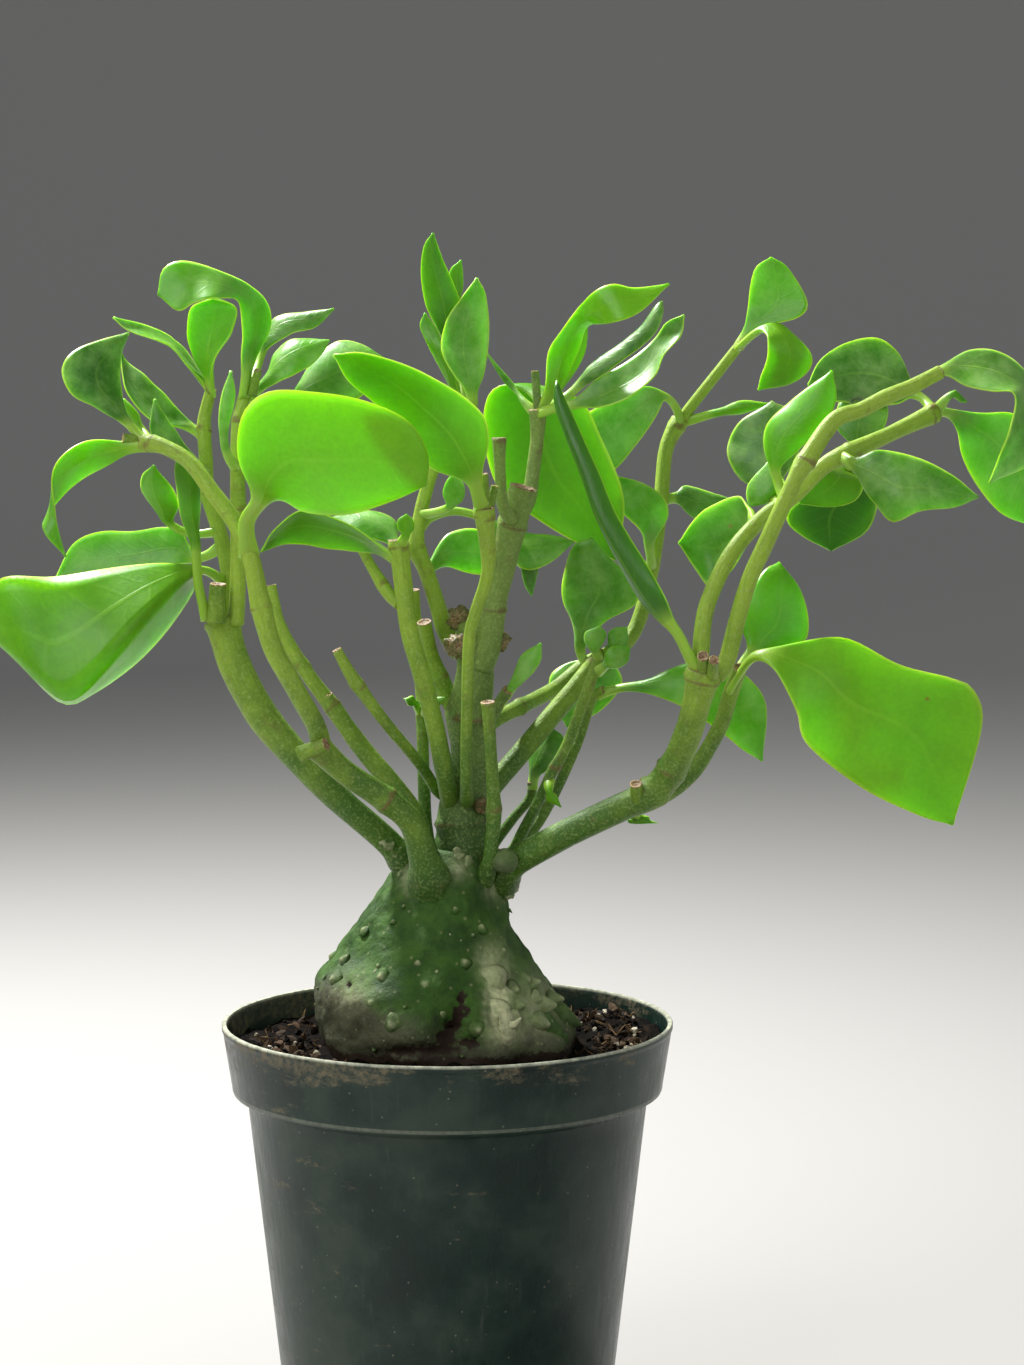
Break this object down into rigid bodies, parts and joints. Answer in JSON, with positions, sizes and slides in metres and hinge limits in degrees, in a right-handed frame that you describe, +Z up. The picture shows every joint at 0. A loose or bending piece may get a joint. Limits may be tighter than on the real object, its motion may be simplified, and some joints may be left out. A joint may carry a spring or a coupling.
{
  "type": "potted ant plant",
  "caption": "Caudex plant with a warty swollen base, cut and leafy green stems and thick oval leaves, growing in a dark green plastic nursery pot.",
  "frame": {"origin": "centre of the pot's flat underside, on the surface it stands on", "axes": "+Z up along the pot's axis, -Y toward the viewer of the picture, +X to the viewer's right"},
  "size_m": [0.3766, 0.16, 0.4231],
  "materials": {
    "pot_plastic": "satin dark green moulded plastic with dust under the rim",
    "potting_soil": "matte damp dark potting mix with bark bits",
    "caudex_skin": "smooth matte green skin with pale warts",
    "green_bark": "smooth pale green bark with dried callus",
    "green_stem": "satin pale green stem skin",
    "leaf_green": "waxy satin green leaves on pale stems"
  },
  "bodies": {
    "root": {"pot": "pot_plastic", "soil": "potting_soil", "caudex": "caudex_skin", "trunk": "green_bark", "cut_left_stem": "green_stem", "short_cut_stem": "green_stem", "pale_stem": "green_stem", "front_cut_stem": "green_stem", "outer_left_stem": "leaf_green", "left_stem": "leaf_green", "middle_stem": "leaf_green", "back_middle_stem": "leaf_green", "top_stem": "leaf_green", "front_stem": "leaf_green", "dark_right_stem": "leaf_green", "back_right_stem": "leaf_green", "thin_right_stem": "leaf_green", "leaf_bearing_stem": "leaf_green", "right_branch": "leaf_green", "low_right_leaf_stem": "leaf_green"}
  },
  "joints": []
}
